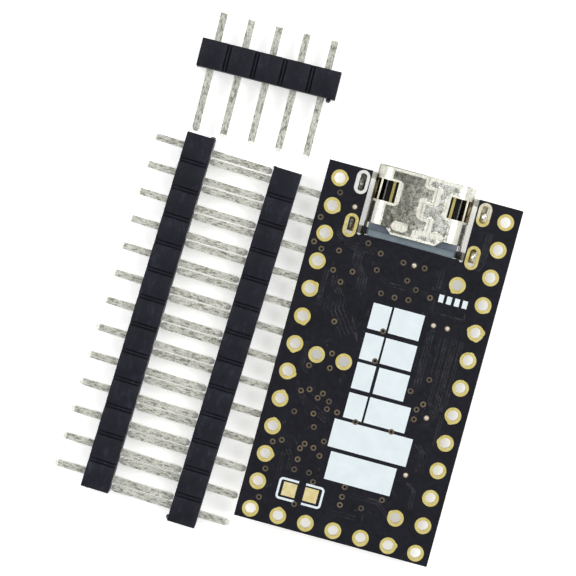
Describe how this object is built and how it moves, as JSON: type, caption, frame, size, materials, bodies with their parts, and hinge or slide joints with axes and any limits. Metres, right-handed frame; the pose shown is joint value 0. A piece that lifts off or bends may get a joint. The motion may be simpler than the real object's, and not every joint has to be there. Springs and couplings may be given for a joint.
{
  "type": "microcontroller dev board",
  "caption": "Small bare-back microcontroller board with a sunk USB-C socket, plated header holes and loose breakaway pin headers.",
  "frame": {"origin": "centre of the grid of the two hole columns, on the bare back face of the board", "axes": "+Z out of the bare back face, +Y towards the USB socket, +X across the board"},
  "size_m": [0.0345, 0.0456, 0.0033],
  "materials": {
    "glass_fibre_laminate": "matte",
    "black_solder_mask": "satin",
    "gold_plating": "satin",
    "masked_copper": "satin",
    "legend_ink": "matte",
    "nickel_plated_steel": "satin",
    "black_polymer": "matte",
    "tinned_brass": "bright",
    "tinned_terminal": "satin",
    "solder": "bright",
    "moulding_compound": "matte",
    "capacitor_ceramic": "satin",
    "white_ceramic": "matte",
    "tantalum_yellow": "satin",
    "fuse_green": "satin",
    "lens_resin": "gloss"
  },
  "bodies": {
    "board": {"pcb_laminate": "glass_fibre_laminate", "solder_mask_back": "black_solder_mask", "solder_mask_front": "black_solder_mask", "plated_header_holes": "gold_plating", "plated_usb_slots": "gold_plating", "jumper_pads": "gold_plating", "usb_contacts_upper": "gold_plating", "usb_contacts_lower": "gold_plating", "plated_vias": "masked_copper", "legend_back": "legend_ink", "legend_front": "legend_ink", "usb_shell": "nickel_plated_steel", "usb_mid_plate": "nickel_plated_steel", "reset_switch_cover": "nickel_plated_steel", "reset_switch_dome": "nickel_plated_steel", "crystal_lid": "nickel_plated_steel", "usb_insulator": "black_polymer", "reset_switch_base": "black_polymer", "mcu_terminals": "tinned_terminal", "flash_terminals": "tinned_terminal", "regulator_leads": "tinned_terminal", "esd_array_leads": "tinned_terminal", "diode_leads": "tinned_terminal", "ceramic_capacitor_terminals": "tinned_terminal", "fuse_terminals": "tinned_terminal", "resistor_terminals": "tinned_terminal", "tantalum_terminals": "tinned_terminal", "led_terminals": "tinned_terminal", "reset_switch_terminals": "tinned_terminal", "solder_joints": "solder", "mcu_body": "moulding_compound", "flash_body": "moulding_compound", "regulator_body": "moulding_compound", "esd_array_body": "moulding_compound", "diode_body": "moulding_compound", "resistor_coats": "moulding_compound", "ceramic_capacitor_bodies": "capacitor_ceramic", "resistor_substrates": "white_ceramic", "crystal_base": "white_ceramic", "led_substrates": "white_ceramic", "tantalum_bodies": "tantalum_yellow", "fuse_body": "fuse_green", "led_lenses": "lens_resin"},
    "reset_plunger": {"reset_plunger": "black_polymer"},
    "left_header_strip": {"left_header_housing": "black_polymer", "left_header_pins": "tinned_brass"},
    "right_header_strip": {"right_header_housing": "black_polymer", "right_header_pins": "tinned_brass"},
    "short_header_strip": {"short_header_housing": "black_polymer", "short_header_pins": "tinned_brass"}
  },
  "joints": [
    {"name": "reset_button_press", "type": "slide", "parent": "board", "child": "reset_plunger", "axis": [0, 0, 1], "range_m": [0, 0.00025], "stiffness_N_per_m": 2000, "springref_m": -0.0001},
    {"name": "right_strip_slide", "type": "slide", "parent": "board", "child": "right_header_strip", "axis": [-1, 0, 0], "range_m": [0, 0.008]},
    {"name": "left_strip_lift", "type": "slide", "parent": "right_header_strip", "child": "left_header_strip", "axis": [0, 0, 1], "range_m": [0, 0.015]},
    {"name": "short_strip_lift", "type": "slide", "parent": "board", "child": "short_header_strip", "axis": [0, 0, 1], "range_m": [0, 0.015]}
  ]
}
